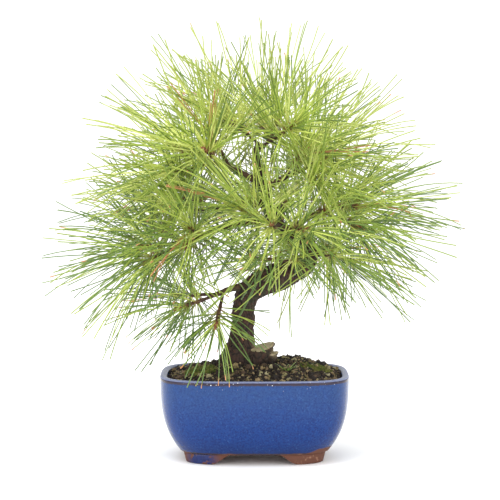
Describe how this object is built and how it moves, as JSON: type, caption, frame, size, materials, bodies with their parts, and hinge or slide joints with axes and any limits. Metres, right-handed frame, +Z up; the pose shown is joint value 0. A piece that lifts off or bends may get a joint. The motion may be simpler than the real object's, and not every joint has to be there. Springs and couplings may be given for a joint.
{
  "type": "bonsai tree in a pot",
  "caption": "Pine bonsai with a bent trunk, spreading branches and long needle tufts, growing in mossy soil in a footed rectangular glazed pot.",
  "frame": {"origin": "centre of the bounding box on the ground the pot's feet stand on; the middle of the pot is 3.2 mm to the right and 11.0 mm to the front of it, because the foliage spreads unevenly", "axes": "+Z up, +X to the right seen from the front, +Y to the back; the pot's long side is along X"},
  "size_m": [0.342, 0.2998, 0.3572],
  "materials": {
    "glaze": "gloss",
    "plastic_mesh": "matte",
    "clip_wire": "satin",
    "soil": "matte",
    "moss": "matte",
    "bark": "matte",
    "needles": "satin"
  },
  "bodies": {
    "root": {"pot": "glaze", "drain_mesh_left": "plastic_mesh", "drain_mesh_right": "plastic_mesh", "mesh_clip_left": "clip_wire", "mesh_clip_right": "clip_wire", "soil": "soil", "moss_left": "moss", "moss_right": "moss", "grass_sprig": "moss", "trunk": "bark", "branch_apex": "bark", "branch_back": "bark", "branch_back_left": "bark", "branch_back_low": "bark", "branch_front": "bark", "branch_front_low": "bark", "branch_low_left": "bark", "branch_low_right": "bark", "branch_mid_left": "bark", "branch_mid_right": "bark", "branch_upper_left": "bark", "branch_upper_right": "bark", "needles_apex_1": "needles", "needles_apex_2": "needles", "needles_apex_3": "needles", "needles_apex_4": "needles", "needles_back_1": "needles", "needles_back_2": "needles", "needles_back_left_1": "needles", "needles_back_left_2": "needles", "needles_back_left_3": "needles", "needles_back_low_1": "needles", "needles_back_low_2": "needles", "needles_front_1": "needles", "needles_front_2": "needles", "needles_front_3": "needles", "needles_front_low_1": "needles", "needles_front_low_2": "needles", "needles_low_left_1": "needles", "needles_low_left_2": "needles", "needles_low_left_3": "needles", "needles_low_right_1": "needles", "needles_low_right_2": "needles", "needles_mid_left_1": "needles", "needles_mid_left_2": "needles", "needles_mid_left_3": "needles", "needles_mid_left_4": "needles", "needles_mid_left_5": "needles", "needles_mid_right_1": "needles", "needles_mid_right_2": "needles", "needles_mid_right_3": "needles", "needles_mid_right_4": "needles", "needles_upper_left_1": "needles", "needles_upper_left_2": "needles", "needles_upper_left_3": "needles", "needles_upper_left_4": "needles", "needles_upper_right_1": "needles", "needles_upper_right_2": "needles", "needles_upper_right_3": "needles", "needles_upper_right_4": "needles"}
  },
  "joints": []
}
